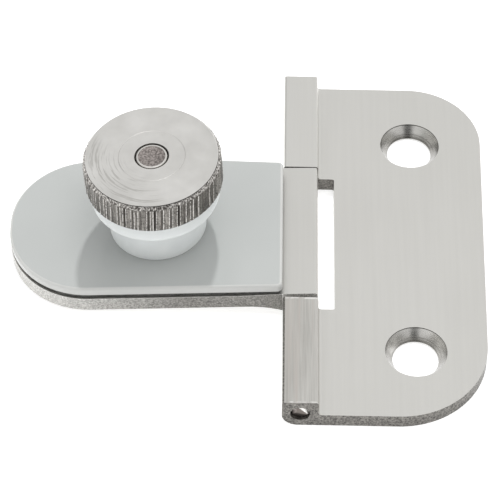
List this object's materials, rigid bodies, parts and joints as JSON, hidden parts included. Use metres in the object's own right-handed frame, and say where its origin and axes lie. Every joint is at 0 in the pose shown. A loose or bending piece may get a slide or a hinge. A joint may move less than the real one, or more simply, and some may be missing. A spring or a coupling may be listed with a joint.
{
  "type": "glass door hinge",
  "caption": "Clamp-on glass door hinge: brushed wall leaf with countersunk screw holes, pinned to a padded round-ended leaf that grips the pane under a knurled nut.",
  "frame": {"origin": "middle of the wall leaf's flat back face, halfway between the two screw holes", "axes": "+X along the plate away from the hinge pin, +Y along the hinge pin, +Z out of the wall leaf's front face"},
  "size_m": [0.0741, 0.0664, 0.0226],
  "materials": {
    "satin_nickel": "satin nickel plate, brushed along the hinge pin",
    "pin_steel": "turned bright steel",
    "stud_steel": "threaded steel, dull cut end",
    "pad_plastic": "glossy pale grey",
    "bond_film": "dark adhesive foam",
    "nylon": "white, faintly translucent nylon"
  },
  "bodies": {
    "wall_side": {"wall_leaf": "satin_nickel", "hinge_pin": "pin_steel"},
    "glass_side": {"glass_leaf": "satin_nickel", "bond_film": "bond_film", "glass_pad": "pad_plastic", "clamp_stud": "stud_steel"},
    "bush": {"clamp_bush": "nylon"},
    "nut": {"knurled_nut": "satin_nickel"}
  },
  "joints": [
    {"name": "leaf_hinge", "type": "hinge", "parent": "wall_side", "child": "glass_side", "pos_m": [-0.0175, 0, 0.0027], "axis": [0, 1, 0], "range_deg": [-90, 118]},
    {"name": "bush_lift", "type": "slide", "parent": "glass_side", "child": "bush", "axis": [-0.0596, 0, 0.9982], "range_m": [0, 0.004]},
    {"name": "nut_spin", "type": "hinge", "parent": "bush", "child": "nut", "pos_m": [-0.04006, 0.0002, 0.01653], "axis": [-0.0596, 0, 0.9982], "range_deg": [0, 1800]}
  ],
  "couplings": [
    {"joint": "bush_lift", "follows": "nut_spin", "m_per_rad": 0.0001273}
  ]
}
